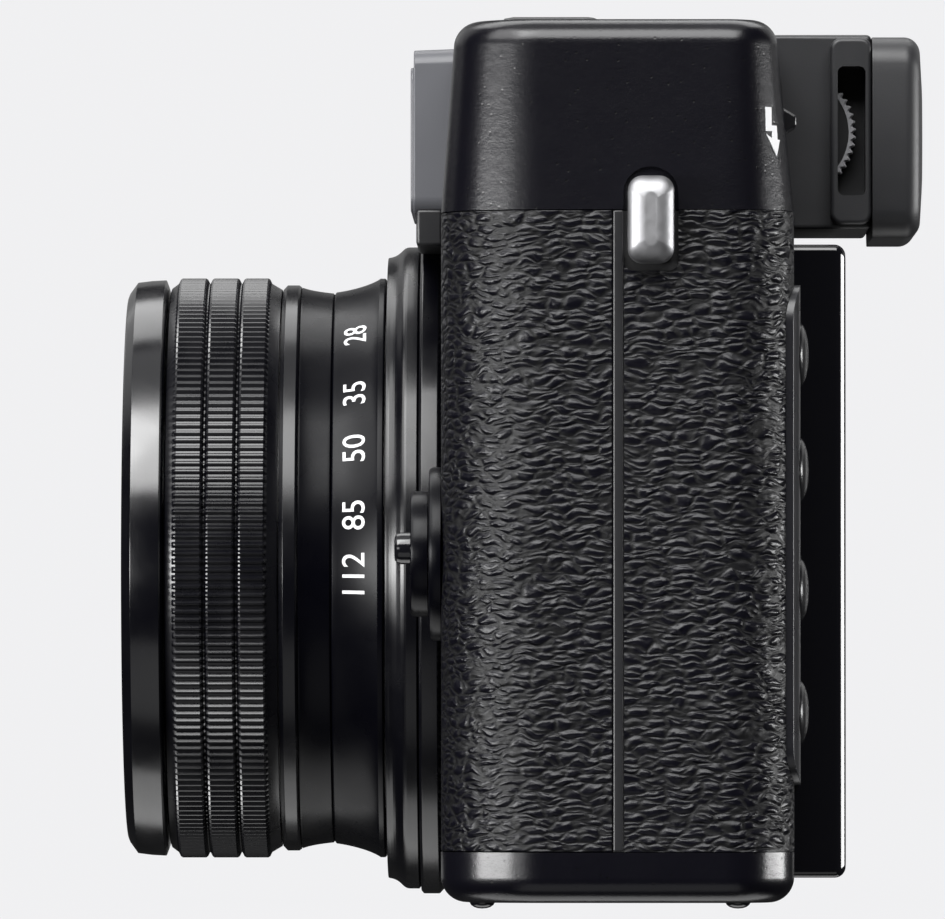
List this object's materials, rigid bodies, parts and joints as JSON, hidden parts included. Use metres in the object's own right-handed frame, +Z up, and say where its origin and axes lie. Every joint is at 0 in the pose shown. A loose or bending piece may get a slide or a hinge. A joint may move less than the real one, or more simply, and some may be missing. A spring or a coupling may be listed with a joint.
{
  "type": "rangefinder camera",
  "caption": "Compact black rangefinder-style camera with leatherette wrap, turned zoom lens, eyepiece, top dials, folding flash, rear screen and keys, each moving piece jointed",
  "frame": {"origin": "on the ground under the middle of the camera's overall box", "axes": "+X to the viewer's left, -Y the way the lens points, +Z up"},
  "size_m": [0.1236, 0.0644, 0.0736],
  "materials": {
    "black_paint": "fine satin black paint over a light alloy cover",
    "black_metal": "black anodised, semi-gloss",
    "black_plastic": "moulded, fine matte grain",
    "grey_plastic": "moulded, dark grey, smooth matte",
    "leatherette": "creased and pebbled grain, satin",
    "gloss_black": "polished black",
    "chrome": "bright polished metal",
    "glass": "coated optical glass",
    "circuit": "printed circuit board",
    "label": "plain wrapped cell or card"
  },
  "bodies": {
    "camera": {"chassis": "black_metal", "bottom_plate": "black_paint", "top_plate": "black_paint", "leather_front": "leatherette", "leather_rear_left": "leatherette", "leather_rear_right": "leatherette", "grip": "leatherette", "finder_bezel": "grey_plastic", "finder_window": "glass", "af_lamp": "glass", "eyepiece_housing": "grey_plastic", "eyecup": "grey_plastic", "eyepiece_lens": "glass", "lens_flange": "black_metal", "lens_sleeve": "black_metal", "front_rim_ring": "black_metal", "image_sensor": "circuit", "main_board": "circuit", "hot_shoe": "chrome", "shutter_collar": "black_metal", "strap_lug_left": "chrome", "strap_lug_right": "chrome", "focus_mode_base": "black_metal", "lcd_frame": "gloss_black", "lcd_glass": "glass", "button_panel": "black_plastic", "control_panel": "black_plastic", "battery": "label", "memory_card": "label", "tripod_socket": "chrome"},
    "zoom_ring": {"zoom_scale_ring": "black_metal", "zoom_grip_ring": "black_metal"},
    "outer_barrel": {"barrel_outer": "black_metal"},
    "inner_barrel": {"barrel_inner": "black_metal", "name_ring": "black_plastic", "front_element": "glass", "rear_lens_group": "glass"},
    "finder_zoom": {"finder_zoom_lens": "glass"},
    "flash": {"flash_lid": "black_paint", "flash_window": "glass"},
    "flash_release": {"flash_slider": "black_plastic"},
    "focus_selector": {"focus_mode_dial": "black_metal"},
    "mode_selector": {"mode_dial": "black_metal"},
    "exposure_selector": {"exposure_dial": "black_metal"},
    "shutter_release": {"shutter_button": "chrome"},
    "function_button": {"fn_button": "black_metal"},
    "diopter_wheel": {"diopter_dial": "grey_plastic"},
    "command_wheel": {"command_dial": "black_metal"},
    "ring_dial": {"sub_dial": "black_metal"},
    "ok_key": {"ok_button": "black_plastic"},
    "side_key_1": {"side_button_1": "black_plastic"},
    "side_key_2": {"side_button_2": "black_plastic"},
    "side_key_3": {"side_button_3": "black_plastic"},
    "side_key_4": {"side_button_4": "black_plastic"},
    "ael_key": {"ael_button": "black_plastic"},
    "disp_key": {"disp_button": "black_plastic"},
    "raw_key": {"raw_button": "black_plastic"},
    "base_door": {"battery_door": "black_plastic"},
    "base_latch": {"door_latch": "black_plastic"},
    "side_cover": {"terminal_cover": "black_plastic"}
  },
  "joints": [
    {"name": "zoom_turn", "type": "hinge", "parent": "camera", "child": "zoom_ring", "pos_m": [0.0045, -0.02, 0.02736], "axis": [0, -1, 0], "range_deg": [0, 91]},
    {"name": "outer_barrel_slide", "type": "slide", "parent": "camera", "child": "outer_barrel", "axis": [0, -1, 0], "range_m": [0, 0.0082]},
    {"name": "inner_barrel_slide", "type": "slide", "parent": "outer_barrel", "child": "inner_barrel", "axis": [0, -1, 0], "range_m": [0, 0.0075]},
    {"name": "finder_zoom_slide", "type": "slide", "parent": "camera", "child": "finder_zoom", "axis": [0, 1, 0], "range_m": [0, 0.006]},
    {"name": "flash_lift", "type": "hinge", "parent": "camera", "child": "flash", "pos_m": [0.037, 0.0054, 0.0686], "axis": [-1, 0, 0], "range_deg": [0, 75]},
    {"name": "flash_release_slide", "type": "slide", "parent": "camera", "child": "flash_release", "axis": [0, 0, -1], "range_m": [0, 0.002], "stiffness_N_per_m": 300},
    {"name": "focus_selector_turn", "type": "hinge", "parent": "camera", "child": "focus_selector", "pos_m": [0.0455, -0.0062, 0.028], "axis": [0, -1, 0], "range_deg": [-35, 35]},
    {"name": "mode_turn", "type": "hinge", "parent": "camera", "child": "mode_selector", "pos_m": [-0.022, 0.0103, 0.0715], "axis": [0, 0, 1], "continuous": true},
    {"name": "exposure_turn", "type": "hinge", "parent": "camera", "child": "exposure_selector", "pos_m": [-0.0485, 0.012, 0.0715], "axis": [0, 0, 1], "range_deg": [-108, 108]},
    {"name": "shutter_press", "type": "slide", "parent": "camera", "child": "shutter_release", "axis": [0, 0, -1], "range_m": [0, 0.001], "stiffness_N_per_m": 400},
    {"name": "function_press", "type": "slide", "parent": "camera", "child": "function_button", "axis": [0, 0, -1], "range_m": [0, 0.0005], "stiffness_N_per_m": 400},
    {"name": "diopter_turn", "type": "hinge", "parent": "camera", "child": "diopter_wheel", "pos_m": [0.0327, 0.0216, 0.0618], "axis": [1, 0, 0], "range_deg": [-110, 110]},
    {"name": "command_turn", "type": "hinge", "parent": "camera", "child": "command_wheel", "pos_m": [-0.044, 0.0155, 0.0485], "axis": [0, 0, 1], "continuous": true},
    {"name": "ring_turn", "type": "hinge", "parent": "camera", "child": "ring_dial", "pos_m": [-0.036, 0.0225, 0.023], "axis": [0, 1, 0], "continuous": true},
    {"name": "ok_press", "type": "slide", "parent": "camera", "child": "ok_key", "axis": [0, -1, 0], "range_m": [0, 0.0004], "stiffness_N_per_m": 400},
    {"name": "side_press_1", "type": "slide", "parent": "camera", "child": "side_key_1", "axis": [0, -1, 0], "range_m": [0, 0.0004], "stiffness_N_per_m": 400},
    {"name": "side_press_2", "type": "slide", "parent": "camera", "child": "side_key_2", "axis": [0, -1, 0], "range_m": [0, 0.0004], "stiffness_N_per_m": 400},
    {"name": "side_press_3", "type": "slide", "parent": "camera", "child": "side_key_3", "axis": [0, -1, 0], "range_m": [0, 0.0004], "stiffness_N_per_m": 400},
    {"name": "side_press_4", "type": "slide", "parent": "camera", "child": "side_key_4", "axis": [0, -1, 0], "range_m": [0, 0.0004], "stiffness_N_per_m": 400},
    {"name": "ael_press", "type": "slide", "parent": "camera", "child": "ael_key", "axis": [0, -1, 0], "range_m": [0, 0.0004], "stiffness_N_per_m": 400},
    {"name": "disp_press", "type": "slide", "parent": "camera", "child": "disp_key", "axis": [0, -1, 0], "range_m": [0, 0.0004], "stiffness_N_per_m": 400},
    {"name": "raw_press", "type": "slide", "parent": "camera", "child": "raw_key", "axis": [0, -1, 0], "range_m": [0, 0.0004], "stiffness_N_per_m": 400},
    {"name": "base_door_swing", "type": "hinge", "parent": "camera", "child": "base_door", "pos_m": [-0.0549, 0.0086, 0.00185], "axis": [0, 1, 0], "range_deg": [0, 90]},
    {"name": "base_latch_slide", "type": "slide", "parent": "base_door", "child": "base_latch", "axis": [-1, 0, 0], "range_m": [0, 0.002]},
    {"name": "side_cover_swing", "type": "hinge", "parent": "camera", "child": "side_cover", "pos_m": [-0.05775, 0.01015, 0.03], "axis": [0, 0, 1], "range_deg": [0, 100]}
  ],
  "couplings": [
    {"joint": "outer_barrel_slide", "follows": "zoom_turn", "m_per_rad": 0.005},
    {"joint": "inner_barrel_slide", "follows": "zoom_turn", "m_per_rad": 0.0045},
    {"joint": "finder_zoom_slide", "follows": "zoom_turn", "m_per_rad": 0.0037}
  ]
}
